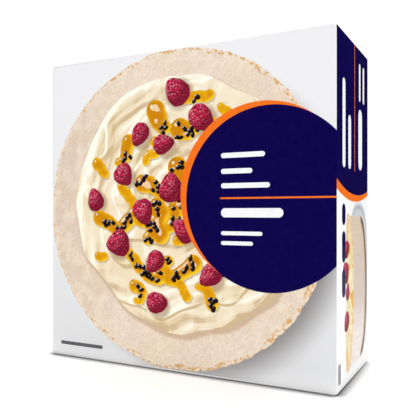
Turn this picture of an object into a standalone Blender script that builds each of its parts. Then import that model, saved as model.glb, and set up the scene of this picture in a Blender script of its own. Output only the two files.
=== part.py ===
"""Cake carton, shut and full, standing on one end.

One printed blank of folding boxboard, glued down one back corner and shut at both ends. The large
square picture panel faces -Y, the narrow side panels face -X and +X, and the origin is the centre
of the face that the carton stands on. Nothing can be seen of the inside, so the shut carton is one
solid. Its folds are rounded, and each layer of board that ends on the outside is a step of one
board thickness: the two end flaps that fold over from the picture panel, and the back panel where
it is glued over the lap of the left side.
"""

import bmesh
import bpy
from mathutils import Matrix, Vector

# Driving dimensions, in metres
PANEL_WIDTH = 0.260
PANEL_HEIGHT = 0.260
CARTON_DEPTH = 0.102
BOARD = 0.0006
FOLD_RADIUS = 0.0012
FOLD_SEGMENTS = 4
FLAP_SIDE_GAP = 0.0015
FLAP_BACK_GAP = 0.0030
FLAP_CORNER_RADIUS = 0.0040
SEAM_GAP = 0.0010

# Colours, as linear RGB, and finish
PRINTED_WHITE = (0.83, 0.83, 0.85, 1.0)
VARNISH_ROUGHNESS = 0.42

FRONT = -CARTON_DEPTH / 2
BACK = CARTON_DEPTH / 2
LEFT = -PANEL_WIDTH / 2
RIGHT = PANEL_WIDTH / 2


def clear_scene():
    """Remove whatever objects the opened file holds."""
    for thing in list(bpy.data.objects):
        bpy.data.objects.remove(thing, do_unlink=True)


def new_collection(name):
    collection = bpy.data.collections.new(name)
    bpy.context.scene.collection.children.link(collection)
    return collection


def board_material():
    """White coated boxboard under a satin varnish."""
    material = bpy.data.materials.new("printed_boxboard")
    material.use_nodes = True
    shader = material.node_tree.nodes["Principled BSDF"]
    shader.inputs["Base Color"].default_value = PRINTED_WHITE
    shader.inputs["Roughness"].default_value = VARNISH_ROUGHNESS
    shader.inputs["Metallic"].default_value = 0.0
    return material


def upright(edge):
    """True for an edge that runs along Z."""
    direction = (edge.verts[0].co - edge.verts[1].co).normalized()
    return abs(direction.z) > 0.99


def middle(edge):
    return (edge.verts[0].co + edge.verts[1].co) / 2


def box(name, low, high, folds, radius, collection):
    """A box between two corners, with the edges that folds() picks rounded to radius."""
    low, high = Vector(low), Vector(high)
    mesh = bpy.data.meshes.new(name)
    bm = bmesh.new()
    place = Matrix.Translation((low + high) / 2) @ Matrix.Diagonal((*(high - low), 1.0))
    bmesh.ops.create_cube(bm, size=1.0, matrix=place)
    rounded = [edge for edge in bm.edges if folds(edge)]
    bmesh.ops.bevel(bm, geom=rounded, offset=radius, offset_type="OFFSET", affect="EDGES",
                    segments=FOLD_SEGMENTS, profile=0.5, material=-1)
    bm.to_mesh(mesh)
    bm.free()
    thing = bpy.data.objects.new(name, mesh)
    collection.objects.link(thing)
    return thing


def make_walls(collection):
    """The four walls and the inner flaps: everything that lies one board below the outer layer."""
    return box("carton", (LEFT, FRONT, BOARD), (RIGHT, BACK - BOARD, PANEL_HEIGHT - BOARD),
               lambda edge: True, FOLD_RADIUS, collection)


def make_end_flaps(collection):
    """The picture panel with the two outer flaps that fold back from it over both ends."""
    flaps = box("end_flaps", (LEFT + FLAP_SIDE_GAP, FRONT, 0.0),
                (RIGHT - FLAP_SIDE_GAP, BACK - FLAP_BACK_GAP, PANEL_HEIGHT),
                lambda edge: not upright(edge) and middle(edge).y < FRONT + BOARD
                and abs(middle(edge).x) < BOARD,
                FOLD_RADIUS, collection)
    bm = bmesh.new()
    bm.from_mesh(flaps.data)
    free_corners = [edge for edge in bm.edges if upright(edge) and middle(edge).y > 0]
    bmesh.ops.bevel(bm, geom=free_corners, offset=FLAP_CORNER_RADIUS, offset_type="OFFSET",
                    affect="EDGES", segments=FOLD_SEGMENTS, profile=0.5, material=-1)
    bm.to_mesh(flaps.data)
    bm.free()
    return flaps


def make_back_panel(collection):
    """The back panel, folded from the right side and glued over the lap at the left corner."""
    return box("back_panel", (LEFT + SEAM_GAP, 0.0, BOARD), (RIGHT, BACK, PANEL_HEIGHT - BOARD),
               lambda edge: middle(edge).y > 0 and middle(edge).x > LEFT + 2 * SEAM_GAP,
               FOLD_RADIUS, collection)


def join(body, layer):
    """Unite a layer with the body, as a live Boolean, and keep the layer out of the renders."""
    union = body.modifiers.new("join_" + layer.name, "BOOLEAN")
    union.operation = "UNION"
    union.object = layer
    layer.hide_render = True
    layer.display_type = "WIRE"


def main():
    clear_scene()
    parts = new_collection("cake_carton")
    layers = new_collection("cutters")
    carton = make_walls(parts)
    carton.data.materials.append(board_material())
    for layer in (make_end_flaps(layers), make_back_panel(layers)):
        join(carton, layer)


main()
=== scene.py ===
# %% [markdown]
# # A printed cake carton
#
# The object is a shut folding carton that stands on one end. It is cut from one sheet of boxboard,
# printed while flat, varnished, folded and glued. So this lesson first makes the board, and then
# lays each printed colour on it, as a press does: a thin field of ink over another.

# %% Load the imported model
import math
import random
from collections import namedtuple

import bmesh
import bpy
from mathutils import Matrix, Vector, noise
from mathutils.kdtree import KDTree


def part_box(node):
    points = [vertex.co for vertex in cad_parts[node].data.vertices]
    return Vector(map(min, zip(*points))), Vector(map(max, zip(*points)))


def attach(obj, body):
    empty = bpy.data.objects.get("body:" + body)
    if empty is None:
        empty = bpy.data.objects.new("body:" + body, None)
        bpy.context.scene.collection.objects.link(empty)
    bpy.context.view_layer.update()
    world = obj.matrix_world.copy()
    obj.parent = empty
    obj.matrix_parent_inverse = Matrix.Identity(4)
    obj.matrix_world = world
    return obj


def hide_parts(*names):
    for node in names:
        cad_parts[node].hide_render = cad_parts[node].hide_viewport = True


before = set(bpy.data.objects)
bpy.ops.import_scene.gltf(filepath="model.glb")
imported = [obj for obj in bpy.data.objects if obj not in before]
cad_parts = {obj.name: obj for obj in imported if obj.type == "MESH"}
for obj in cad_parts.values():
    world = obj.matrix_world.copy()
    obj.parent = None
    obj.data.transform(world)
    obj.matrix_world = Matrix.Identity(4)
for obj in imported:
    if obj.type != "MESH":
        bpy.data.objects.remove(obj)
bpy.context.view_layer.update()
low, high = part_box("carton")
print("carton", [round(1000 * side, 1) for side in high - low], "mm")

# %% [markdown]
# ## Sizes
#
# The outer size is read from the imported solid. The board's own sizes are those of common folding
# boxboard: 0.6 mm thick, with folds of twice that radius. Most printed shapes are given as shares
# of a panel's width or height, as they are read off a picture of it.

# %% Sizes of the carton and its board
MM = 0.001
LEFT, FRONT = low[:2]
RIGHT, BACK = high[:2]
WIDTH, DEPTH, HEIGHT = high - low
BOARD = 0.6 * MM
FOLD = 1.2 * MM
FOLD_STEPS = 6
SHARP_ANGLE = math.radians(40)
FLAP_SIDE_GAP = 1.5 * MM
FLAP_BACK_GAP = 3.0 * MM
FLAP_CORNER = 4.0 * MM
SEAM_GAP = 1.0 * MM
HAIR = 0.02 * MM

# %% Helper that puts a new object into the scene
def placed(name, data):
    thing = bpy.data.objects.new(name, data)
    bpy.context.scene.collection.objects.link(thing)
    return thing


# %% [markdown]
# ## The camera
#
# The picture's two rows of parallel edges meet in two vanishing points on one level line. They give
# a level camera, its focal length and its turn, and the near fold's height in pixels then gives the
# distance. That beats trying values by eye, because every later piece is judged through it.

# %% Camera
IMAGE_SIDE = 420
FOCAL_PIXELS = 561.9
CAMERA_TURN = math.radians(27.24)
NEAR_FOLD_PIXEL = 337.05
NEAR_FOLD_TALL = 374.17
HORIZON_PIXEL = 212.3
NEAR_FOLD_FOOT = 396.56
SENSOR = 36.0

pixels_per_metre = NEAR_FOLD_TALL / HEIGHT
distance = FOCAL_PIXELS / pixels_per_metre
ahead = Vector((-math.sin(CAMERA_TURN), math.cos(CAMERA_TURN), 0.0))
aside = Vector((math.cos(CAMERA_TURN), math.sin(CAMERA_TURN), 0.0))
fold_aside = (NEAR_FOLD_PIXEL - IMAGE_SIDE / 2) / pixels_per_metre
eye = Vector((RIGHT, FRONT, 0.0)) - ahead * distance - aside * fold_aside
eye.z = (NEAR_FOLD_FOOT - HORIZON_PIXEL) / pixels_per_metre

camera_data = bpy.data.cameras.new("camera")
camera_data.sensor_width = SENSOR
camera_data.lens = SENSOR * FOCAL_PIXELS / IMAGE_SIDE
camera_data.shift_y = (HORIZON_PIXEL - IMAGE_SIDE / 2) / IMAGE_SIDE
camera_data.clip_start = 0.01
camera = placed("camera", camera_data)
camera.location = eye
camera.rotation_euler = (math.radians(90), 0.0, CAMERA_TURN)
bpy.context.scene.camera = camera
print("camera at", [round(value, 3) for value in eye], "lens", round(camera_data.lens, 1))

# %% [markdown]
# ## Studio
#
# The carton stands on a white sweep under large soft lights. The world is dim white for the carton
# and full white behind it, so the background stays clean while the print keeps its contrast. Gloss
# sees a nearly dark world, like a photographer's black card, because the narrow wall is seen so
# flat that a bright one would wash its ink out. The Standard view leaves printed colours alone.

# %% One function for nodes, and one for colours
def add(tree, kind, inputs=None, out=0, **settings):
    """Add a node, set its options, give its inputs values or links, and return its output, or a
    list of outputs where out is a tuple of their names."""
    node = tree.nodes.new("ShaderNode" + kind)
    for name, value in settings.items():
        setattr(node, name, value)
    for name, value in (inputs or {}).items():
        if isinstance(value, bpy.types.NodeSocket):
            tree.links.new(value, node.inputs[name])
        else:
            node.inputs[name].default_value = value
    if isinstance(out, tuple):
        return [node.outputs[name] for name in out]
    return node.outputs[out] if node.outputs else node


def linear(code):
    """An sRGB hex colour as the linear values that a shader works in."""
    channels = [int(code[at:at + 2], 16) / 255 for at in (1, 3, 5)]
    return tuple(c / 12.92 if c <= 0.04045 else ((c + 0.055) / 1.055) ** 2.4
                 for c in channels) + (1.0,)


# %% World and view
bpy.context.scene.view_settings.view_transform = "Standard"
world = bpy.data.worlds.new("studio")
world.use_nodes = True
bpy.context.scene.world = world
sky = world.node_tree
sky.nodes.clear()
soft_white, black_card, clean_white = [
    add(sky, "Background", {"Color": linear("#ffffff"), "Strength": strength})
    for strength in (0.47, 0.03, 1.1)]
gloss_ray, camera_ray = add(sky, "LightPath", out=("Is Glossy Ray", "Is Camera Ray"))
lighting = add(sky, "MixShader", {0: gloss_ray, 1: soft_white, 2: black_card})
chosen = add(sky, "MixShader", {0: camera_ray, 1: lighting, 2: clean_white})
add(sky, "OutputWorld", {"Surface": chosen})


# %% Soft lights
def softbox(name, place, side, power):
    """A square area light of a given side, turned towards the middle of the carton."""
    data = bpy.data.lights.new(name, "AREA")
    data.shape = "SQUARE"
    data.size = side
    data.energy = power
    lamp = placed(name, data)
    lamp.location = place
    aim = Vector((0.0, 0.0, HEIGHT / 2)) - Vector(place)
    lamp.rotation_euler = aim.to_track_quat("-Z", "Y").to_euler()
    print(name, power, "W")


softbox("overhead", (0.0, 0.1, 1.6), 2.4, 31.0)
softbox("right_side", (1.7, -0.5, 0.8), 1.4, 6.5)
softbox("front_fill", (-0.9, -1.7, 0.9), 1.4, 6.0)

# %% [markdown]
# The sweep is painted matt white, with a painted contact shadow: an ambient occlusion node
# darkens the paint's colour within a few millimetres of the carton. A real floor darkens in that
# narrow gap too, but the soft white light here would fill it in. The painted shade fades towards
# the back.

# %% White sweep to stand on
CONTACT_REACH = 8.0 * MM
FRONT_SHADE, BACK_SHADE = 2.1, 0.6
paint = bpy.data.materials.new("matt_white_sweep_paint")
paint.use_nodes = True
shader = paint.node_tree.nodes["Principled BSDF"]
shader.inputs["Roughness"].default_value = 0.9
shader.inputs["Specular IOR Level"].default_value = 0.0
tree = paint.node_tree
here = add(tree, "TexCoord", out="Object")
backward = add(tree, "SeparateXYZ", {"Vector": here}, out="Y")
depth_of_shade = add(tree, "MapRange", {"Value": backward, "From Min": FRONT, "From Max": BACK,
                                        "To Min": FRONT_SHADE, "To Max": BACK_SHADE})
openness = add(tree, "AmbientOcclusion", {"Distance": CONTACT_REACH}, out="AO", samples=16)
# Painted shade: the white's colour falls with the occlusion, darkest at the carton's foot.
white_with_painted_contact_shade = add(tree, "Math", {0: openness, 1: depth_of_shade}, operation="POWER")
paint.node_tree.links.new(white_with_painted_contact_shade, shader.inputs["Base Color"])

sweep_mesh = bpy.data.meshes.new("sweep")
bm = bmesh.new()
bmesh.ops.create_grid(bm, x_segments=1, y_segments=1, size=1.0)
bm.to_mesh(sweep_mesh)
bm.free()
sweep_mesh.materials.append(paint)
placed("sweep", sweep_mesh)

# %% [markdown]
# ## Finish of the board and the inks
#
# Folding boxboard is pressed wood fibre with a smooth white clay coat. Offset inks soak into it and
# are almost matt, and a thin water-based varnish gives them a faint sheen, with a very fine
# unevenness from the fibre below. Every ink shares that varnish. Its colour is built as on a press:
# a base, and coats over it, each by the share that a pattern gives.

# %% Varnish and coats of colour
FIBRE_CLUMP = 0.5 * MM
VARNISH_ROUGHNESS = 0.38
VARNISH_SPECULAR = 0.02


def printed(name, **stored):
    """A varnished ink without its colour yet, its tree, the place on the carton, and whatever
    the mesh has stored at its points, each given as a name and the output to read it from."""
    material = bpy.data.materials.new(name)
    material.use_nodes = True
    tree = material.node_tree
    shader = tree.nodes["Principled BSDF"]
    here = add(tree, "TexCoord", out="Object")
    coat = add(tree, "TexNoise", {"Vector": here, "Scale": 1 / FIBRE_CLUMP, "Detail": 3.0})
    bump = add(tree, "Bump", {"Height": coat, "Strength": 0.12, "Distance": 0.05 * MM})
    tree.links.new(bump, shader.inputs["Normal"])
    shader.inputs["Roughness"].default_value = VARNISH_ROUGHNESS
    shader.inputs["Specular IOR Level"].default_value = VARNISH_SPECULAR
    return material, tree, here, *[add(tree, "Attribute", out=out, attribute_name=layer)
                                   for layer, out in stored.items()]


def colour(tree, base, *coats):
    """Give the ink a base colour and coats over it.

    A coat is (value, none_at, full_at, strength, hex colour): it grows softly from nothing to its
    strength as the value goes from one edge to the other.
    """
    mix = linear(base)
    for value, none_at, full_at, strength, code in coats:
        share = add(tree, "MapRange", {"Value": value, "From Min": none_at, "From Max": full_at,
                                       "To Max": strength}, interpolation_type="SMOOTHSTEP")
        mix = add(tree, "Mix", {0: share, 6: mix, 7: linear(code)}, out=2, data_type="RGBA")
    tree.links.new(mix, tree.nodes["Principled BSDF"].inputs["Base Color"])


# %% Board and solid inks
# Solid offset colour looks even and matt, but its strength varies a little over a few millimetres.
INK_MOTTLE = 4.0 * MM


def solid_ink(name, code, weak_code):
    """One even offset colour that weakens slightly in soft patches."""
    material, tree, here = printed(name)
    patches = add(tree, "TexNoise", {"Vector": here, "Scale": 1 / INK_MOTTLE, "Detail": 4.0})
    colour(tree, code, (patches, 0.2, 0.8, 1.0, weak_code))
    return material


board_white = solid_ink("clay_coated_boxboard", "#f3f3f4", "#f7f7f8")
navy_ink = solid_ink("navy_offset_ink", "#0a0147", "#10054e")
orange_ink = solid_ink("orange_offset_ink", "#f87019", "#f67a24")
reversed_white = solid_ink("unprinted_white_in_a_solid", "#f4f4f6", "#fbfbfc")
caption_ink = solid_ink("grey_offset_ink", "#58585d", "#69696e")
# The narrow walls' white is whiter than the board's own: painted light, standing in for the
# brighter light that falls on them.
narrow_wall_white_with_painted_light = solid_ink("white_painted_brighter_on_the_narrow_walls", "#fbfbfc", "#fefefe")

# %% Cut edge of the board
# Pressed wood fibre, cut with a steel rule: greyish, dull and speckled along the cut.
fibre_edge, tree, here = printed("uncoated_fibre_edge")
fibre = add(tree, "TexNoise", {"Vector": here, "Scale": 1 / FIBRE_CLUMP, "Detail": 5.0})
colour(tree, "#c9c2b6", (fibre, 0.2, 0.8, 1.0, "#e6e1d8"))
tree.nodes["Principled BSDF"].inputs["Roughness"].default_value = 0.95
print("finishes so far:", [m.name for m in bpy.data.materials])

# %% [markdown]
# ## The folded board
#
# The four walls are one closed box with rounded folds. They could be four plates, but a real wall
# bends into the next without a gap, so a box with every edge bevelled by the fold's radius is
# nearer. What ends on the outside is a sheet of its own: the two end flaps, which fold over from
# the picture panel, and the back panel, which is glued over a lap of the left wall.

# %% Helper that turns a bmesh into a piece of the carton
def piece(name, bm, materials):
    """Make a mesh object from a bmesh, at the origin, riding with the carton."""
    mesh = bpy.data.meshes.new(name)
    bm.to_mesh(mesh)
    bm.free()
    for material in materials:
        mesh.materials.append(material)
    mesh.shade_smooth()
    thing = placed(name, mesh)
    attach(thing, "root")
    print(name, len(mesh.polygons), "faces")
    return thing


def rounded(bm, geom, radius, affect):
    """Bevel edges round, or the corners of a flat sheet."""
    bmesh.ops.bevel(bm, geom=geom, offset=radius, offset_type="OFFSET", affect=affect,
                    segments=FOLD_STEPS, profile=0.5, material=-1)


def plate(bm, size, middle):
    """Add a box of a given size, with every edge rounded like a fold."""
    bmesh.ops.create_cube(bm, size=1.0, matrix=Matrix.Translation(middle)
                          @ Matrix.Diagonal((*size, 1.0)))
    rounded(bm, bm.edges[:], FOLD, "EDGES")


# %% Walls
bm = bmesh.new()
plate(bm, (WIDTH, DEPTH - BOARD, HEIGHT - 2 * BOARD), (0.0, -BOARD / 2, HEIGHT / 2))
walls = piece("folded_walls", bm, [board_white])
walls.data.set_sharp_from_angle(angle=SHARP_ANGLE)
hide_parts("carton")

# %% [markdown]
# Each outer sheet is folded as the real one is: a straight edge is drawn out along the flat part
# and spun a quarter turn round the fold. A Solidify modifier then gives the sheet its thickness on
# the inner side, and paints the cut edge with the bare fibre.

# %% Helpers that draw out and fold a sheet
def everything(bm):
    return bm.verts[:] + bm.edges[:] + bm.faces[:]


def pulled(bm, edges, step):
    """Draw edges out by a step, and return the new edges."""
    grown = bmesh.ops.extrude_edge_only(bm, edges=edges)["geom"]
    bmesh.ops.translate(bm, vec=step, verts=[g for g in grown if isinstance(g, bmesh.types.BMVert)])
    return [g for g in grown if isinstance(g, bmesh.types.BMEdge)]


def folded(bm, edges, centre, axis, quarter):
    """Spin edges a quarter turn round a fold, and return the last edges."""
    corners = list({corner for edge in edges for corner in edge.verts})
    spun = bmesh.ops.spin(bm, geom=edges + corners, cent=centre, axis=axis,
                          angle=quarter * math.pi / 2, steps=FOLD_STEPS, use_merge=False)
    return [g for g in spun["geom_last"] if isinstance(g, bmesh.types.BMEdge)]


def board_sheet(name, bm):
    """Turn an open sheet into board of its real thickness, with bare cut edges."""
    bm.normal_update()
    inside = Vector((0.0, 0.0, HEIGHT / 2))
    turned_in = [face for face in bm.faces
                 if face.normal.dot(face.calc_center_median() - inside) < 0]
    bmesh.ops.reverse_faces(bm, faces=turned_in)
    sheet = piece(name, bm, [board_white, fibre_edge])
    thick = sheet.modifiers.new("board_thickness", "SOLIDIFY")
    thick.thickness = BOARD - HAIR
    thick.offset = -1.0
    thick.use_even_offset = True
    thick.material_offset_rim = 1
    sheet.data.set_sharp_from_angle(angle=SHARP_ANGLE)


# %% End flaps
def end_flap(name, end):
    """The outer flap of one end: up is end = 1, down is end = -1."""
    bm = bmesh.new()
    level = HEIGHT / 2 + end * (HEIGHT / 2 - FOLD)
    sides = (LEFT + FLAP_SIDE_GAP, RIGHT - FLAP_SIDE_GAP)
    first, last = [bm.verts.new((x, FRONT, level - end * BOARD)) for x in sides]
    edges = [bm.edges.new((first, last))]
    edges = pulled(bm, edges, (0.0, 0.0, end * BOARD))
    edges = folded(bm, edges, (0.0, FRONT + FOLD, level), (1.0, 0.0, 0.0), -end)
    edges = pulled(bm, edges, (0.0, DEPTH - FOLD - FLAP_BACK_GAP, 0.0))
    rounded(bm, list({corner for edge in edges for corner in edge.verts}), FLAP_CORNER, "VERTICES")
    board_sheet(name, bm)


end_flap("end_flap_top", 1)
end_flap("end_flap_bottom", -1)

# %% Back panel
bm = bmesh.new()
plate(bm, (WIDTH, DEPTH, HEIGHT - 2 * BOARD), (0.0, 0.0, HEIGHT / 2))
for point, away in (((0, BACK - BOARD - FOLD, 0), (0, 1, 0)), ((LEFT + SEAM_GAP, 0, 0), (1, 0, 0))):
    bmesh.ops.bisect_plane(bm, geom=everything(bm), plane_co=point, plane_no=away, clear_inner=True)
board_sheet("back_panel", bm)

# %% [markdown]
# ## Laying print on a folded carton
#
# Print is made flat and folded with the board. So each field of ink is drawn flat, in metres from
# the panel's lower left corner, trimmed, cut along a few lines where the board will bend, and
# pressed onto the form: each point moves out by the fold's radius from the nearest point of a
# smaller inner box, which gives flat walls and round folds by one rule. Each next ink lies a hair
# above the last.

# %% Panels
Panel = namedtuple("Panel", "corner right up left_trim right_trim low_trim high_trim core")
SIDE_CORE = (Vector((LEFT + FOLD, FRONT + FOLD, BOARD + FOLD)),
             Vector((RIGHT - FOLD, BACK - FOLD, HEIGHT - BOARD - FOLD)))
SEAM_CORE = (SIDE_CORE[0], SIDE_CORE[1] - Vector((0.0, BOARD, 0.0)))
BACK_CORE = (SIDE_CORE[0] - Vector((FOLD, 0.0, 0.0)), SIDE_CORE[1])
END_CORE = (Vector((LEFT, FRONT + FOLD, FOLD)), Vector((RIGHT, BACK, HEIGHT - FOLD)))
X, Y, Z = Vector((1, 0, 0)), Vector((0, 1, 0)), Vector((0, 0, 1))
WALL_TRIM = (BOARD, HEIGHT - BOARD)
FLAP_TRIM = (FLAP_SIDE_GAP, WIDTH - FLAP_SIDE_GAP, FOLD, DEPTH - FLAP_BACK_GAP)

front = Panel(Vector((LEFT, FRONT, 0)), X, Z, 0, WIDTH, *WALL_TRIM, SIDE_CORE)
right = Panel(Vector((RIGHT, FRONT, 0)), Y, Z, 0, DEPTH, *WALL_TRIM, SIDE_CORE)
left = Panel(Vector((LEFT, BACK, 0)), -Y, Z, BOARD, DEPTH, *WALL_TRIM, SEAM_CORE)
back = Panel(Vector((RIGHT, BACK, 0)), -X, Z, 0, WIDTH - SEAM_GAP, *WALL_TRIM, BACK_CORE)
top = Panel(Vector((LEFT, FRONT, HEIGHT)), X, Y, *FLAP_TRIM, END_CORE)
bottom = Panel(Vector((RIGHT, FRONT, 0)), -X, Y, *FLAP_TRIM, END_CORE)
LARGE = (("front", front), ("back", back))
NARROW = (("right", right), ("left", left))
ENDS = (("top", top), ("bottom", bottom))


# %% Trimming and bending
def cut(bm, axis, level, keep=0):
    """Cut a flat field along one line; keep=1 keeps what is above the line, keep=-1 below."""
    reach = [vert.co[axis] for vert in bm.verts]
    if min(reach) < level < max(reach):
        point, across = Vector(), Vector()
        point[axis] = level
        across[axis] = keep or 1
        bmesh.ops.bisect_plane(bm, geom=everything(bm), plane_co=point, plane_no=across,
                               clear_inner=keep != 0)


def fit(bm, panel):
    """Trim a field to its panel, and give it lines to bend at near the panel's edges."""
    for axis, start, end in ((0, panel.left_trim, panel.right_trim),
                             (1, panel.low_trim, panel.high_trim)):
        cut(bm, axis, start, keep=1)
        cut(bm, axis, end, keep=-1)
        for step in range(3):
            inset = FOLD * (1 - math.tan(math.radians(15 * step)))
            cut(bm, axis, start + inset)
            cut(bm, axis, end - inset)


# %% Pressing
def ink(name, bm, panel, material, layer):
    """Fit a flat field to its panel, press it onto the rounded carton, and make it a piece."""
    fit(bm, panel)
    bmesh.ops.triangulate(bm, faces=bm.faces[:])
    axes = Matrix((panel.right, panel.up, panel.right.cross(panel.up))).transposed().to_4x4()
    bmesh.ops.transform(bm, matrix=Matrix.Translation(panel.corner) @ axes, verts=bm.verts)
    low_core, high_core = panel.core
    for vert in bm.verts:
        inner = Vector([min(max(vert.co[axis], low_core[axis]), high_core[axis])
                        for axis in range(3)])
        vert.co = inner + (vert.co - inner).normalized() * (FOLD + layer * HAIR)
    piece(name, bm, [material])


# %% [markdown]
# ## The flat colour fields
#
# Round the pack go a navy disc with an orange one slipped out behind it, and on the narrow walls
# and ends a navy field and an orange band that end in a shallow arc. All are parts of discs, so one
# helper draws them as filled circles, cut by the panel's edges, with segments enough to look round.

# %% Discs of flat colour
ARC_SEGMENTS = 256
ORANGE_LAYER, NAVY_LAYER, BAR_LAYER = 6, 7, 8


def discs(faces, *fields, names=("_orange_band", "_navy_field")):
    """Lay an orange disc and a navy one, each a centre and a radius, on each of some panels."""
    for face, panel in faces:
        for name, (centre, radius), material, layer in zip(
                names, fields, (orange_ink, navy_ink), (ORANGE_LAYER, NAVY_LAYER)):
            bm = bmesh.new()
            bmesh.ops.create_circle(bm, cap_ends=True, segments=ARC_SEGMENTS, radius=radius,
                                    matrix=Matrix.Translation((*centre, 0.0)))
            ink(face + name, bm, panel, material, layer)


LABEL_CENTRE = Vector((0.8038 * WIDTH, 0.5306 * HEIGHT))
LABEL_RADIUS = 0.2668 * WIDTH
LABEL_SLIP = Vector((-5.3, 3.4)) * MM
discs(LARGE, (LABEL_CENTRE + LABEL_SLIP, LABEL_RADIUS), (LABEL_CENTRE, LABEL_RADIUS),
      names=("_orange_crescent", "_navy_disc"))
discs(NARROW, (Vector((54.4, 321.9)) * MM, 185.6 * MM), (Vector((60.3, 326.0)) * MM, 184.6 * MM))
discs(ENDS, (Vector((115.0, 249.0)) * MM, 202.0 * MM), (Vector((109.0, 252.0)) * MM, 202.0 * MM))

# %% [markdown]
# ## Rules and word bars
#
# Where a pack would carry words, this one carries plain bars of like length and weight, so it names
# nobody. Each is a square, stretched to its length, with its corners bevelled round. Thin orange
# rules divide the blocks. All bars of one colour on a panel are one piece.

# %% Bars
def bars(name, panel, material, corners, roundness=0.48, layer=BAR_LAYER):
    """One piece of several bars, each given by two opposite corners, with rounded ends."""
    bm = bmesh.new()
    for start_s, start_t, end_s, end_t in corners:
        size = Vector((end_s - start_s, end_t - start_t))
        middle = Vector((start_s + end_s, start_t + end_t, 0.0)) / 2
        made = bmesh.ops.create_grid(bm, x_segments=1, y_segments=1, size=0.5,
                                     matrix=Matrix.Translation(middle)
                                     @ Matrix.Diagonal((*size, 1.0, 1.0)))
        if roundness:
            rounded(bm, made["verts"], roundness * min(size), "VERTICES")
    ink(name, bm, panel, material, layer)


def level_bar(start, end, middle, weight):
    """Corners of a bar along a line of words: shares of the panel, and its weight in mm."""
    return (start * WIDTH, middle * HEIGHT - weight * MM / 2,
            end * WIDTH, middle * HEIGHT + weight * MM / 2)


# %% Bars on the large panels
LABEL_LINES = ((0.794, 0.6595, 3.9), (0.755, 0.613, 3.9), (0.809, 0.5705, 3.9),
               (0.849, 0.491, 7.0), (0.786, 0.431, 3.0), (0.757, 0.402, 3.0))
for face, panel in LARGE:
    bars(face + "_label_lines", panel, reversed_white,
         [level_bar(0.655, end, middle, weight) for end, middle, weight in LABEL_LINES])
    bars(face + "_label_rule", panel, orange_ink, [level_bar(0.652, 1.0, 0.534, 1.3)], roundness=0)
    bars(face + "_caption", panel, caption_ink, [level_bar(0.040, 0.219, 0.0455, 3.0)])

SMALL_PRINT = [level_bar(0.06, 0.46 - 0.03 * (line % 3) - 0.07 * (line % 4 == 3),
                         0.30 - 0.024 * line, 1.6) for line in range(9)]
bars("back_small_print", back, caption_ink, SMALL_PRINT)
bars("back_heading", back, navy_ink, [level_bar(0.06, 0.33, 0.335, 3.2)])

# %% Bars on the narrow walls and the ends
SIDE_LINES = ((0.145, 0.618, 0.230, 0.868), (0.315, 0.618, 0.400, 0.774),
              (0.645, 0.623, 0.775, 0.811), (0.665, 0.835, 0.720, 0.952),
              (0.800, 0.835, 0.855, 0.952))
HANDLING_LINES = ((0.135, 0.255, 0.232, 0.335), (0.135, 0.352, 0.232, 0.440),
                  (0.135, 0.457, 0.232, 0.517), (0.036, 0.024, 0.055, 0.080),
                  (0.070, 0.024, 0.089, 0.080))


def upright_bars(lines):
    return [(s0 * DEPTH, t0 * HEIGHT, s1 * DEPTH, t1 * HEIGHT) for s0, t0, s1, t1 in lines]


for face, panel in NARROW:
    bars(face + "_word_lines", panel, reversed_white, upright_bars(SIDE_LINES))
    bars(face + "_rule", panel, orange_ink, upright_bars([(0.512, 0.615, 0.526, 1.0)]), roundness=0)
    bars(face + "_handling_lines", panel, navy_ink, upright_bars(HANDLING_LINES))

for face, panel in ENDS:
    bars(face + "_word_lines", panel, reversed_white,
         [level_bar(0.14, 0.36, 0.305, 4.5), level_bar(0.14, 0.30, 0.262, 4.5),
          level_bar(0.50, 0.74, 0.285, 7.0)])

# %% [markdown]
# ## The picture's light
#
# The picture panel shows a large meringue cake from above, on a pale ground. The print is flat, so
# its light is part of the ink and comes from the picture's upper left, whatever lamp stands beside
# the real carton. An embossed look needs no real relief: one pattern is read at two places a little
# apart along that light, and the difference is bright on slopes that face the light and dark on the
# others.

# %% Pictured light
PICTURE_LIGHT = Vector((-0.70, 0.0, 0.71))
PICTURE_LAMP = Vector((-0.57, -0.58, 0.58))


def embossed(tree, height_at, place, reach, gain):
    """The pictured light on a pattern: 0 on level ground, above on slopes that face the light."""
    nearer = add(tree, "VectorMath", {0: place, 1: tuple(PICTURE_LIGHT * reach)}, operation="ADD")
    slope = add(tree, "Math", {0: height_at(tree, place), 1: height_at(tree, nearer)},
                operation="SUBTRACT")
    return add(tree, "Math", {0: slope, 1: gain}, operation="MULTIPLY")


# %% [markdown]
# ## Ground of the picture
#
# The ground is a pale grey that darkens a little downwards, with the soft shadow of the pictured
# cake at the lower right. A painted light lifts its lowest part, where the real panel sits in the
# shade of the floor. All are smooth, so the material works them out, the shadow from the distance
# to its middle.

# %% Ground ink
CAKE = Vector((-0.001, FRONT, 0.1308))
CAKE_REACH = 0.1286
SHADOW_SLIP = Vector((18.4, 0.0, -13.8)) * MM
SHADOW_REACH = 102.5 * MM
SHADOW_FADE = 30 * MM

ground_ink, tree, here = printed("process_inks_pale_ground")
level = add(tree, "SeparateXYZ", {"Vector": here}, out="Z")
from_shadow = add(tree, "VectorMath", {0: here, 1: tuple(CAKE + SHADOW_SLIP)}, out="Value",
                  operation="DISTANCE")
# The second coat is painted light: it lightens the lowest 7% of the ground against the floor's
# shade.
colour(tree, "#e3e4e6", (level, 0.0, HEIGHT, 1.0, "#f0f0f2"),
       (level, 0.07 * HEIGHT, 0.0, 0.8, "#f6f6f7"),
       (from_shadow, SHADOW_REACH + SHADOW_FADE, SHADOW_REACH, 1.0, "#918e8d"))

# %% Grounds
# A ground is one square bar that fills its panel, on the lowest layer.
bars("front_picture_ground", front, ground_ink, [(0, 0, WIDTH, HEIGHT)], roundness=0, layer=1)
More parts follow.
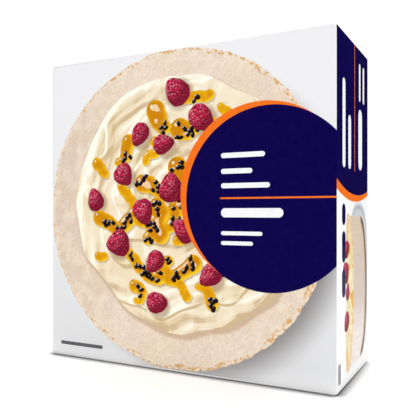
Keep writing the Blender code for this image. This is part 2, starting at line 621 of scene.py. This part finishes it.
# The narrow walls' grounds use that whiter ink, with its painted light.
for face, panel in NARROW:
    bars(face + "_plain_ground", panel, narrow_wall_white_with_painted_light, [(0, 0, DEPTH, HEIGHT)], roundness=0, layer=1)

# %% [markdown]
# ## Discs with a soft inside
#
# The meringue and the cream are round, uneven fields. Each starts as one spoke of points, spun
# round its centre, and every point is then moved out by an outline that depends on its angle. Each
# point keeps its share of the way out, which the ink uses to shade towards the rim.

# %% Helpers for an uneven disc
def spoked_disc(centre, outline, rings, spokes, inner=0.0):
    """A disc, or a ring from an inner share outwards, whose edge follows outline(angle)."""
    bm = bmesh.new()
    share = bm.verts.layers.float.new("share")
    tip = bm.verts.new((inner, 0.0, 0.0))
    for step in range(rings):
        tip = bmesh.ops.extrude_vert_indiv(bm, verts=[tip])["verts"][0]
        bmesh.ops.translate(bm, vec=((1.0 - inner) / rings, 0.0, 0.0), verts=[tip])
    bmesh.ops.spin(bm, geom=bm.verts[:] + bm.edges[:], cent=(0, 0, 0), axis=(0, 0, 1),
                   angle=2 * math.pi, steps=spokes, use_merge=True)
    bmesh.ops.remove_doubles(bm, verts=bm.verts[:], dist=0.1 / rings)
    for vert in bm.verts:
        vert[share] = vert.co.length
        angle = math.atan2(vert.co.y, vert.co.x)
        vert.co = Vector((*centre, 0.0)) + vert.co * outline(angle)
    bm.normal_update()
    bmesh.ops.reverse_faces(bm, faces=[face for face in bm.faces if face.normal.z < 0])
    return bm


def rough(angle, size, lobes, seed):
    """A smooth random wave round a circle, with about that many lobes."""
    turn = Vector((math.cos(angle), math.sin(angle), 0.0)) * lobes / 6
    return size * noise.noise(turn + Vector((0.0, 0.0, seed)))


# %% [markdown]
# ## Meringue crust
#
# A baked meringue has a dry, pale beige skin with soft swells 16 mm across, a fine crackle of
# 2.2 mm, and a rim that browns in short flecks. Each is one noise pattern at that real size, and
# the first two are embossed.

# %% Outlines of crust and cream
CAKE_FLAT = Vector((CAKE.x - LEFT, CAKE.z))
CREAM_FLAT = Vector((0.505 * WIDTH, 0.519 * HEIGHT))
CREAM_REACH = 0.1035


def crust_edge(angle):
    return CAKE_REACH + rough(angle, 1.3 * MM, 7, 3.1) + rough(angle, 1.0 * MM, 60, 8.4) \
        + rough(angle, 0.9 * MM, 170, 5.7)


def cream_edge(angle):
    return CREAM_REACH + rough(angle, 9.0 * MM, 9, 1.7) + rough(angle, 4.5 * MM, 22, 6.2) \
        + 1.5 * MM * math.cos(2 * angle)


# %% Relief of the crust
SWELL = 16 * MM
CRACKLE = 2.2 * MM


def crust_height(tree, place):
    swells = add(tree, "TexNoise", {"Vector": place, "Scale": 1 / SWELL, "Detail": 1.0})
    crackle = add(tree, "TexNoise", {"Vector": place, "Scale": 1 / CRACKLE, "Detail": 3.0,
                                     "Roughness": 0.6})
    return add(tree, "Math", {0: swells, 1: 1.6, 2: crackle}, operation="MULTIPLY_ADD")


# %% Crust ink
crust_ink, tree, here, share, under_cream = printed(
    "process_inks_meringue_crust", share="Fac", under_cream="Fac")
relief = embossed(tree, crust_height, here, 0.5 * MM, 0.9)
blush = add(tree, "TexNoise", {"Vector": here, "Scale": 1 / (30 * MM), "Detail": 3.0})
mottle = add(tree, "TexNoise", {"Vector": here, "Scale": 1 / (3.6 * MM), "Detail": 4.0,
                                "Roughness": 0.62})
sideways, level = add(tree, "SeparateXYZ", {"Vector": here}, out=("X", "Z"))
waves = add(tree, "TexNoise", {"Vector": here, "Scale": 1 / (12 * MM), "Detail": 2.0})
flecks = add(tree, "TexNoise", {"Vector": here, "Scale": 1 / (2.6 * MM), "Detail": 3.0,
                                "Roughness": 0.75})
stretches = add(tree, "TexNoise", {"Vector": here, "Scale": 1 / (17 * MM), "Detail": 1.0})
band_start = add(tree, "MapRange", {"Value": stretches, "From Min": 0.40, "From Max": 0.66,
                                    "To Min": 0.979, "To Max": 0.955})
wider = add(tree, "Math", {0: sideways, 1: -0.06, 2: band_start}, operation="MULTIPLY_ADD")
into_band = add(tree, "Math", {0: share, 1: wider}, operation="SUBTRACT")
at_rim = add(tree, "MapRange", {"Value": into_band, "From Max": 0.012})
rim_flecks = add(tree, "Math", {0: flecks, 1: at_rim}, operation="MULTIPLY")
colour(tree, "#ebd8c0", (blush, 0.35, 0.65, 1.0, "#ead8cb"),
       (level, 0.40 * HEIGHT, 0.0, 0.35, "#f8e9d6"), (level, 0.70 * HEIGHT, HEIGHT, 0.5, "#f6e6d4"),
       (sideways, 0.2 * LEFT, LEFT, 0.75, "#d8c4b3"), (waves, 0.38, 0.62, 0.45, "#fbeedb"),
       (share, 0.970, 0.988, 0.5, "#f9eede"),
       (mottle, 0.30, 0.72, 0.42, "#d6bfa5"), (relief, 0.0, 0.25, 0.7, "#faeedf"),
       (relief, 0.0, -0.25, 0.5, "#c8ae90"), (rim_flecks, 0.48, 0.58, 0.9, "#dca456"),
       (under_cream, 0.0, 1.0, 0.55, "#bd966e"))

# %% Crust
CREAM_SHADE_SLIP = Vector((1.6, -2.4)) * MM
CREAM_SHADE_REACH = 3.0 * MM
bm = spoked_disc(CAKE_FLAT, crust_edge, rings=60, spokes=420, inner=0.5)
covered = bm.verts.layers.float.new("under_cream")
for vert in bm.verts:
    away = vert.co.xy - CREAM_SHADE_SLIP - CREAM_FLAT
    gap = away.length - cream_edge(math.atan2(away.y, away.x))
    vert[covered] = max(0.0, 1.0 - max(gap, 0.0) / CREAM_SHADE_REACH)
ink("front_meringue_crust", bm, front, crust_ink, 2)

# %% [markdown]
# ## Where the toppings lie
#
# Berries and spoonfuls of sauce are set out by the golden angle, as seeds in a flower are, which
# spreads them evenly without rows, and each is then pushed a little. The random generator has a
# fixed seed, so every run lays the same table.

# %% Berries
random.seed(20)
GOLDEN_TURN = math.radians(137.5)
BERRY_COUNT = 19
PUSH = 6
Berry = namedtuple("Berry", "place length width turn taper")


def spread(step, count, start, reach):
    angle = start + step * GOLDEN_TURN
    out = reach * math.sqrt((step + 0.6) / count)
    push = Vector((random.uniform(-PUSH, PUSH), random.uniform(-PUSH, PUSH))) * MM
    return CREAM_FLAT + Vector((math.cos(angle), math.sin(angle))) * out + push


berries = []
for step in range(BERRY_COUNT):
    place = spread(step, BERRY_COUNT, 2.35, 0.84 * CREAM_REACH)
    size = random.uniform(19.0, 26.0) * MM
    berry = Berry(place, size, size * random.uniform(0.76, 0.92), random.uniform(0, 2 * math.pi),
                  random.uniform(0.20, 0.44))
    if (place - LABEL_CENTRE - LABEL_SLIP / 2).length > LABEL_RADIUS + 0.15 * size:
        berries.append(berry)
print(len(berries), "berries clear of the label")

# %% Drops of sauce
# A spoonful is a short row of uneven drops, and a trail is a longer row of narrow ones. Both head
# inwards more or less, so that none runs off the cream.
SPOONFULS = 31
POOL_RADII = (8.5, 10.0, 11.5, 13.5)
TRAIL_RADIUS = 6.6
TRAIL_DROPS = 8
DROP_STEP = 0.62
drops = []
for step in range(SPOONFULS):
    spot = spread(step, SPOONFULS, 0.75, 0.87 * CREAM_REACH)
    inwards = CREAM_FLAT - spot
    heading = math.atan2(inwards.y, inwards.x) + random.uniform(-1.4, 1.4)
    trail = step % 3 == 2
    radius = (TRAIL_RADIUS if trail else random.choice(POOL_RADII)) * MM
    for drop in range(TRAIL_DROPS if trail else random.choice((3, 5, 6, 7))):
        if (spot - CREAM_FLAT).length + 0.8 * radius < 0.94 * CREAM_REACH:
            drops.append((spot.copy(), radius))
        heading += random.uniform(-0.9, 0.9)
        spot = spot + Vector((math.cos(heading), math.sin(heading))) * radius * DROP_STEP
        radius *= random.uniform(0.9, 1.08) if trail else random.uniform(0.76, 1.0)
print(len(drops), "drops of sauce")

# %% [markdown]
# ## Fruit sauce
#
# Spoonfuls of yellow fruit pulp run together in necks and trails. Metaballs behave in just that
# way, so every drop is one. Their upper half is kept and pressed flat, but each point first stores
# which way its surface faced and how high it stood, so that the ink can show a wet, rounded pool on
# level paper. They are made at a hundred times life size, because their finest step is too coarse
# for metres.

# %% Strength of the drops
METABALL_SCALE = 100.0
METABALL_STEP = 0.07
METABALL_EDGE = 0.35
METABALL_PULL = 2.0
WIDEST_DROP = max(radius for spot, radius in drops)
drop_finder = KDTree(len(drops))
for number, (spot, radius) in enumerate(drops):
    drop_finder.insert((*spot, 0.0), number)
drop_finder.balance()


def sauce_pull(point):
    """The metaballs' own formula: above METABALL_EDGE the point lies in sauce."""
    pull = 0.0
    for spot, number, gap in drop_finder.find_range((*point, 0.0), WIDEST_DROP):
        near = 1.0 - (gap / drops[number][1]) ** 2
        pull += METABALL_PULL * max(near, 0.0) ** 3
    return pull


# %% Pools of sauce
pulp = bpy.data.metaballs.new("pulp")
pulp.resolution = METABALL_STEP
pulp.render_resolution = METABALL_STEP
pulp.threshold = METABALL_EDGE
for spot, radius in drops:
    element = pulp.elements.new()
    element.co = (*(spot * METABALL_SCALE), 0.0)
    element.radius = radius * METABALL_SCALE
    element.stiffness = METABALL_PULL
pulp_object = placed("pulp", pulp)
bpy.context.view_layer.update()
swelling = pulp_object.evaluated_get(bpy.context.evaluated_depsgraph_get()).to_mesh()
sauce = bmesh.new()
sauce.from_mesh(swelling)
bpy.data.objects.remove(pulp_object)
bmesh.ops.scale(sauce, vec=(1 / METABALL_SCALE,) * 3, verts=sauce.verts[:])
bmesh.ops.bisect_plane(sauce, geom=everything(sauce), plane_co=(0, 0, 0), plane_no=(0, 0, 1),
                       clear_inner=True)
print("sauce:", len(sauce.faces), "faces")

# %% Press the pools flat
sauce.normal_update()
facing = sauce.verts.layers.float_vector.new("facing")
height = sauce.verts.layers.float.new("height")
tallest = max(vert.co.z for vert in sauce.verts)
for vert in sauce.verts:
    vert[facing] = Vector((vert.normal.x, 0.0, vert.normal.y))
    vert[height] = vert.co.z / tallest
    vert.co.z = 0.0

# %% Sauce ink
# Fruit pulp under a clear syrup: amber where deep, bright yellow at the far rim where light
# gathers, paler where it mirrors the sky, with small white glints.
sauce_ink, tree, here, facing, height = printed(
    "process_inks_fruit_sauce", facing="Vector", height="Fac")
pulp_noise = add(tree, "TexNoise", {"Vector": here, "Scale": 1 / (5 * MM), "Detail": 3.0,
                                    "Roughness": 0.6})
deep = add(tree, "Math", {0: pulp_noise, 1: 0.8, 2: height}, operation="MULTIPLY_ADD")
lit = add(tree, "VectorMath", {0: facing, 1: tuple(PICTURE_LIGHT)}, out="Value",
          operation="DOT_PRODUCT")
sky_patch = add(tree, "TexNoise", {"Vector": here, "Scale": 1 / (7 * MM), "Detail": 1.5})
patch_high = add(tree, "Math", {0: sky_patch, 1: 0.16, 2: sky_patch}, operation="MULTIPLY_ADD")
on_top = add(tree, "MapRange", {"Value": height, "From Min": 0.35, "From Max": 0.85})
sky_mirror = add(tree, "Math", {0: patch_high, 1: on_top}, operation="MULTIPLY")
off_glint = add(tree, "VectorMath", {0: facing, 1: tuple(PICTURE_LIGHT * 0.62)}, out="Value",
                operation="DISTANCE")
colour(tree, "#f5bd12", (deep, 0.35, 1.2, 1.0, "#d0860a"), (lit, -0.2, -0.9, 0.8, "#fdd22e"),
       (lit, 0.5, 0.95, 0.6, "#b0740a"), (sky_mirror, 0.62, 0.68, 0.8, "#fbdcb4"),
       (off_glint, 0.24, 0.0, 1.0, "#fff6d6"))
ink("front_fruit_sauce", sauce, front, sauce_ink, 4)

# %% [markdown]
# ## Whipped cream
#
# A palette knife has spread the cream in long strokes round the cake. Noise gives such strokes when
# it is read in polar form, fast along the radius and slowly round the circle. On top lies the fold
# that the knife leaves as it winds outwards: a sawtooth along a spiral, which rises slowly outwards
# and drops off over 3 mm, bent and faded by slow noises. All strokes run round the berry nearest
# the middle, which hides the point where such a pattern is pinched. Berries and sauce shade the
# cream at their lower right.

# %% Strokes of the knife
middle_berry = min(berries, key=lambda berry: (berry.place - CREAM_FLAT).length)
CREAM = Vector((middle_berry.place.x + LEFT, FRONT, middle_berry.place.y))
STROKE_WIDTH = 18 * MM


def round_strokes(tree, place, out, radius):
    """Where a place lies in the strokes that run round the cake."""
    way = add(tree, "VectorMath", {0: out}, operation="NORMALIZE")
    slow_way = add(tree, "VectorMath", {0: way, "Scale": 1.5}, operation="SCALE")
    wander = add(tree, "TexNoise", {"Vector": place, "Scale": 1 / (60 * MM), "Detail": 1.0})
    drift = add(tree, "Math", {0: wander, 1: 3.0}, operation="MULTIPLY")
    turned = add(tree, "Math", {0: radius, 1: 1 / STROKE_WIDTH, 2: drift},
                 operation="MULTIPLY_ADD")
    across = add(tree, "CombineXYZ", {"Y": turned})
    return add(tree, "VectorMath", {0: slow_way, 1: across}, operation="ADD")


# %% Folds of the knife
FOLD_WIDTH = 24 * MM


def spiral_fold(tree, place, out, radius):
    """One sawtooth per turn of the knife, 0 at the foot of a fold and near 1 at its lip."""
    across, up = add(tree, "SeparateXYZ", {"Vector": out}, out=("X", "Z"))
    angle = add(tree, "Math", {0: up, 1: across}, operation="ARCTAN2")
    bend = add(tree, "TexNoise", {"Vector": place, "Scale": 1 / (48 * MM), "Detail": 1.0})
    bent = add(tree, "Math", {0: bend, 1: 1.9}, operation="MULTIPLY")
    turns = add(tree, "Math", {0: angle, 1: 1 / (2 * math.pi), 2: bent},
                operation="MULTIPLY_ADD")
    wound = add(tree, "Math", {0: radius, 1: 1 / FOLD_WIDTH, 2: turns}, operation="MULTIPLY_ADD")
    rise = add(tree, "Math", {0: wound}, operation="FRACT")
    drop = add(tree, "MapRange", {"Value": rise, "From Min": 0.87},
               interpolation_type="SMOOTHSTEP")
    saw = add(tree, "Math", {0: rise, 1: drop}, operation="SUBTRACT")
    patches = add(tree, "TexNoise", {"Vector": place, "Scale": 1 / (26 * MM), "Detail": 1.0})
    strength = add(tree, "MapRange", {"Value": patches, "From Min": 0.34, "From Max": 0.54})
    return add(tree, "Math", {0: saw, 1: strength}, operation="MULTIPLY")


# %% Relief of the cream
def cream_height(tree, place):
    out = add(tree, "VectorMath", {0: place, 1: tuple(CREAM)}, operation="SUBTRACT")
    radius = add(tree, "VectorMath", {0: out}, out="Value", operation="LENGTH")
    strokes = round_strokes(tree, place, out, radius)
    folds = spiral_fold(tree, place, out, radius)
    broad = add(tree, "TexNoise", {"Vector": strokes, "Scale": 1.0, "Detail": 1.0})
    knife_lines = add(tree, "VectorMath", {0: strokes, 1: (2.0, 4.2, 2.0)}, operation="MULTIPLY")
    fine = add(tree, "TexNoise", {"Vector": knife_lines, "Scale": 1.0, "Detail": 2.0})
    straight = add(tree, "Mapping", {"Vector": place, "Rotation": (0.0, 0.6, 0.0),
                                     "Scale": (1 / (13 * MM), 1.0, 1 / (55 * MM))})
    crossing = add(tree, "TexNoise", {"Vector": straight, "Scale": 1.0, "Detail": 1.0,
                                      "Distortion": 0.6})
    folded_over = add(tree, "Math", {0: folds, 1: 0.30, 2: broad}, operation="MULTIPLY_ADD")
    lined = add(tree, "Math", {0: fine, 1: 0.075, 2: folded_over}, operation="MULTIPLY_ADD")
    return add(tree, "Math", {0: crossing, 1: 0.12, 2: lined}, operation="MULTIPLY_ADD")


# %% Cream ink
# Whipped cream is matt and thick: pale yellow-white where the light rakes it, beige in its valleys.
cream_ink, tree, here, share, beside = printed(
    "process_inks_whipped_cream", share="Fac", beside_topping="Fac")
relief = embossed(tree, cream_height, here, 1.2 * MM, 12.0)
out = add(tree, "VectorMath", {0: here, 1: tuple(CREAM)}, operation="SUBTRACT")
way = add(tree, "VectorMath", {0: out}, operation="NORMALIZE")
to_light = add(tree, "VectorMath", {0: way, 1: tuple(PICTURE_LIGHT)}, out="Value",
               operation="DOT_PRODUCT")
rounding = add(tree, "MapRange", {"Value": share, "From Min": 0.90, "To Max": 0.8},
               interpolation_type="SMOOTHSTEP")
edge_light = add(tree, "Math", {0: to_light, 1: rounding}, operation="MULTIPLY")
light = add(tree, "Math", {0: relief, 1: edge_light}, operation="ADD")
tint = add(tree, "TexNoise", {"Vector": here, "Scale": 1 / (40 * MM), "Detail": 2.0})
colour(tree, "#f0dfbc", (tint, 0.3, 0.7, 1.0, "#f7ead0"), (light, 0.0, 0.6, 0.95, "#fffeef"),
       (light, 0.0, -0.8, 0.9, "#cfb489"), (beside, 0.0, 1.0, 0.68, "#a3835a"))

# %% Cream, shaded beside its toppings
BERRY_SHADE_SLIP = Vector((2.2, -2.6)) * MM
SAUCE_SHADE_SLIP = Vector((1.1, -1.3)) * MM


def berry_shade(point):
    """How dark the pictured cream is beside the berries: 1 in contact, 0 further off."""
    gaps = [(point - berry.place - BERRY_SHADE_SLIP).length / (berry.length / 2) - 0.80
            for berry in berries]
    return max(0.0, 1.0 - max(min(gaps), 0.0) / 0.42)


def sauce_shade(point):
    """A thin shade along the lower right of each pool."""
    pull = sauce_pull(point - SAUCE_SHADE_SLIP) / METABALL_EDGE
    return 0.7 * min(1.0, max(0.0, (pull - 0.6) / 0.4))


bm = spoked_disc(CREAM_FLAT, cream_edge, rings=90, spokes=340)
beside = bm.verts.layers.float.new("beside_topping")
for vert in bm.verts:
    vert[beside] = max(berry_shade(vert.co.xy), sauce_shade(vert.co.xy))
ink("front_whipped_cream", bm, front, cream_ink, 3)

# %% [markdown]
# ## Seeds and berries
#
# Seeds and berries are stamps: a circle of points, squeezed to an oval, turned and set down many
# times in one mesh. Like the sauce, each point stores how the pictured surface faces there, as on
# half an egg, so one ink can round them all under the same light. The berries' drupelets, about
# 2.6 mm across, are the cells of a Voronoi pattern on that half egg, which narrows them towards the
# edge, as on real ones.

# %% Stamps
def stamp_sheet():
    bm = bmesh.new()
    bm.verts.layers.float_vector.new("facing")
    bm.verts.layers.float_vector.new("own_place")
    return bm


def stamp(bm, place, length, width, turn, points, taper=0.2, bumps=0.0, seed=0.0):
    """Set down one oval that looks like half an egg seen from above."""
    facing = bm.verts.layers.float_vector["facing"]
    own_place = bm.verts.layers.float_vector["own_place"]
    made = bmesh.ops.create_circle(bm, cap_ends=True, segments=points, radius=1.0)["verts"]
    rotation = Matrix.Rotation(turn, 2)
    for vert in made:
        unit = vert.co.xy
        wobble = 1.0 + bumps * math.sin(9.0 * math.atan2(unit.y, unit.x) + seed)
        oval = Vector((unit.x * length, unit.y * width * (1.0 - taper * unit.x))) / 2
        outward = rotation @ unit * wobble
        vert[facing] = Vector((outward.x, 0.0, outward.y))
        vert[own_place] = Vector((seed, 1.7 * seed, 2.3 * seed))
        vert.co = Vector((*(Vector(place) + rotation @ oval * wobble), 0.0))


def half_egg(tree, out):
    """The point on the pictured half egg, which is also its normal, and how far it rises."""
    squared = add(tree, "VectorMath", {0: out, 1: out}, out="Value", operation="DOT_PRODUCT")
    left_over = add(tree, "Math", {0: 1.0, 1: squared}, operation="SUBTRACT", use_clamp=True)
    rise = add(tree, "Math", {0: left_over}, operation="SQRT")
    towards_eye = add(tree, "Math", {0: rise, 1: -1.0}, operation="MULTIPLY")
    risen = add(tree, "CombineXYZ", {"Y": towards_eye})
    return add(tree, "VectorMath", {0: out, 1: risen}, operation="ADD"), rise


# %% Seed ink
# Seeds are hard, black and wet, so each shows one small grey glint and a brown rim of syrup.
seed_ink, tree, here, facing = printed("process_inks_black_seed", facing="Vector")
egg, rise = half_egg(tree, facing)
lit = add(tree, "VectorMath", {0: egg, 1: tuple(PICTURE_LAMP)}, out="Value",
          operation="DOT_PRODUCT")
colour(tree, "#4e2f12", (rise, 0.0, 0.5, 1.0, "#1e1517"), (lit, 0.84, 0.98, 0.9, "#c4c6d0"))

# %% Seeds
SEED_SPACING = 2.9 * MM
SEEDLESS_RADIUS = 6.8 * MM
SEED_POINTS = 20
seeds = []
bm = stamp_sheet()
for spot, radius in drops:
    for grain in range(random.choice((0, 0, 2, 4, 7)) if radius > SEEDLESS_RADIUS else 0):
        turn = random.uniform(0, 2 * math.pi)
        out = radius * random.uniform(0.05, 0.55)
        seed = spot + Vector((math.cos(turn), math.sin(turn))) * out
        if all((seed - other).length > SEED_SPACING for other in seeds):
            seeds.append(seed)
            stamp(bm, seed, random.uniform(4.6, 6.2) * MM, random.uniform(3.3, 4.2) * MM,
                  random.uniform(0, math.pi), SEED_POINTS)
print(len(seeds), "seeds")
ink("front_sauce_seeds", bm, front, seed_ink, 5)

# %% Berry ink
# Raspberry drupelets are small crimson beads: each has its own highlight, and the gaps are dark.
DRUPELET = 2.6 * MM
BERRY_RADIUS = 12.5 * MM
berry_ink, tree, here, facing, own_place = printed(
    "process_inks_raspberry", facing="Vector", own_place="Vector")
egg, rise = half_egg(tree, facing)
apart = add(tree, "VectorMath", {0: own_place, "Scale": 9.0}, operation="SCALE")
own = add(tree, "VectorMath", {0: egg, 1: apart}, operation="ADD")
from_bead, bead_middle = add(tree, "TexVoronoi", {
    "Vector": own, "Scale": BERRY_RADIUS / DRUPELET, "Randomness": 0.7},
    out=("Distance", "Position"))
on_bead = add(tree, "VectorMath", {0: own, 1: bead_middle}, operation="SUBTRACT")
bead_light = add(tree, "VectorMath", {0: on_bead, 1: tuple(PICTURE_LAMP)}, out="Value",
                 operation="DOT_PRODUCT")
lit = add(tree, "VectorMath", {0: egg, 1: tuple(PICTURE_LAMP)}, out="Value",
          operation="DOT_PRODUCT")
shown = add(tree, "MapRange", {"Value": lit, "From Min": 0.2, "From Max": 0.9, "To Min": 0.25})
glow = add(tree, "MapRange", {"Value": bead_light, "From Min": 0.02, "From Max": 0.10},
           interpolation_type="SMOOTHSTEP")
glint = add(tree, "Math", {0: glow, 1: shown}, operation="MULTIPLY")
colour(tree, "#86102e", (lit, 0.05, 0.95, 1.0, "#d92852"), (from_bead, 0.26, 0.66, 0.9, "#740d28"),
       (glint, 0.0, 1.0, 0.8, "#f098ac"))

# %% Berries on the cream
bm = stamp_sheet()
for number, berry in enumerate(berries):
    stamp(bm, berry.place, berry.length, berry.width, berry.turn, 64, berry.taper, bumps=0.015,
          seed=1.0 + number)
ink("front_raspberries", bm, front, berry_ink, 5.5)

# %% [markdown]
# ## The small picture on the narrow walls
#
# The narrow walls show a cake from its side, lying along the wall because the artwork turns with
# the pack. From the far edge inwards come the shadow of a pale plate, the baked wall of the
# meringue with its browned foot, cream, and a few berries. The shapes are squarish ovals from the
# same spoked disc. Each point keeps its flat place on the wall, which the inks read instead of
# Object coordinates, so that both walls come out alike.

# %% Squarish ovals
def squarish(half_width, half_height, power, waves=0.0, lobes=30):
    """The outline of an oval that gets squarer with its power, with waves along its edge."""
    def outline(angle):
        reach = ((abs(math.cos(angle)) / half_width) ** power
                 + (abs(math.sin(angle)) / half_height) ** power) ** (-1 / power)
        return reach + rough(angle, waves, lobes, 7.7)
    return outline


# %% Plate shadow ink
plate_ink, tree, here, share = printed("process_inks_plate_shadow", share="Fac")
colour(tree, "#cfd0d4", (share, 0.86, 0.91, 0.6, "#a3a5ac"), (share, 0.91, 0.96, 1.0, "#e4e5e9"),
       (share, 0.96, 1.0, 1.0, "#f9f9fb"))

# %% Meringue wall ink
# The baked side is duller than the top: fine streaks along its height, a paler lower end in the
# picture's light, and a dark brown line where it stood.
wall_ink, tree, here, flat_place, share = printed(
    "process_inks_meringue_wall", flat_place="Vector", share="Fac")
across, along = add(tree, "SeparateXYZ", {"Vector": flat_place}, out=("X", "Y"))
stretched = add(tree, "VectorMath", {0: flat_place, 1: (0.3, 1.0, 1.0)}, operation="MULTIPLY")
streaks = add(tree, "TexNoise", {"Vector": stretched, "Scale": 1 / (3 * MM), "Detail": 3.0})
low_side = add(tree, "MapRange", {"Value": across, "From Min": 0.76 * DEPTH,
                                  "From Max": 0.84 * DEPTH})
to_foot = add(tree, "Math", {0: share, 1: low_side}, operation="MULTIPLY")
colour(tree, "#f4ede7", (along, 24 * MM, 66 * MM, 1.0, "#d6c6bb"),
       (along, 70 * MM, 120 * MM, 1.0, "#decdb6"), (streaks, 0.35, 0.7, 0.3, "#cbb5a2"),
       (to_foot, 0.80, 0.92, 0.8, "#b59a78"), (to_foot, 0.90, 0.94, 1.0, "#6b4a28"),
       (to_foot, 0.975, 1.0, 0.6, "#b9a99a"))

# %% Side cream ink
side_cream_ink, tree, here, flat_place, share = printed(
    "process_inks_side_cream", flat_place="Vector", share="Fac")
swirl = add(tree, "TexNoise", {"Vector": flat_place, "Scale": 1 / (9 * MM), "Detail": 2.0,
                               "Distortion": 1.5})
amber_patch = add(tree, "TexNoise", {"Vector": flat_place, "Scale": 1 / (14 * MM), "Detail": 1.0})
colour(tree, "#f7edc6", (swirl, 0.3, 0.7, 1.0, "#e0cb92"),
       (amber_patch, 0.58, 0.64, 0.9, "#e2a92e"), (share, 0.70, 1.0, 0.75, "#eec497"))

# %% Lay the side-on picture
SIDE_MIDDLE = 68.0 * MM
SIDE_HALF = 58 * MM
SIDE_BOW = 15 * MM
SIDE_BERRIES = ((0.275, 101.0, 15.0, 0.5), (0.245, 84.0, 18.0, 2.6), (0.300, 69.0, 13.0, 1.2),
                (0.270, 47.0, 16.0, 4.0))


def bowed(bm):
    """Keep each flat place, then bow the middle outwards, more so the further across it lies."""
    flat_place = bm.verts.layers.float_vector.new("flat_place")
    for vert in bm.verts:
        vert[flat_place] = vert.co
        along = (vert.co.y - SIDE_MIDDLE) / SIDE_HALF
        vert.co.x -= SIDE_BOW * vert.co.x / DEPTH * min(along ** 2, 1.3)
    return bm


for face, panel in NARROW:
    bm = spoked_disc((0.66 * DEPTH, 74 * MM), squarish(0.335 * DEPTH, 64 * MM, 2.8), 24, 160)
    ink(face + "_plate_shadow", bm, panel, plate_ink, 2)
    bm = spoked_disc((0.45 * DEPTH, SIDE_MIDDLE),
                     squarish(0.505 * DEPTH, 57.5 * MM, 9.0, 0.5 * MM, 30), 40, 200)
    cut(bm, 0, 0.44 * DEPTH, keep=1)
    ink(face + "_meringue_wall", bowed(bm), panel, wall_ink, 3)
    bm = spoked_disc((0.375 * DEPTH, SIDE_MIDDLE),
                     squarish(0.115 * DEPTH, 59 * MM, 3.2, 2.4 * MM, 40), 16, 200)
    ink(face + "_side_cream", bowed(bm), panel, side_cream_ink, 4)
    bm = stamp_sheet()
    for number, (across, up, length, turn) in enumerate(SIDE_BERRIES):
        stamp(bm, (across * DEPTH, up * MM), length * MM, 0.85 * length * MM, turn, 48, bumps=0.02,
              seed=31.0 + number)
    ink(face + "_side_berries", bm, panel, berry_ink, 5)
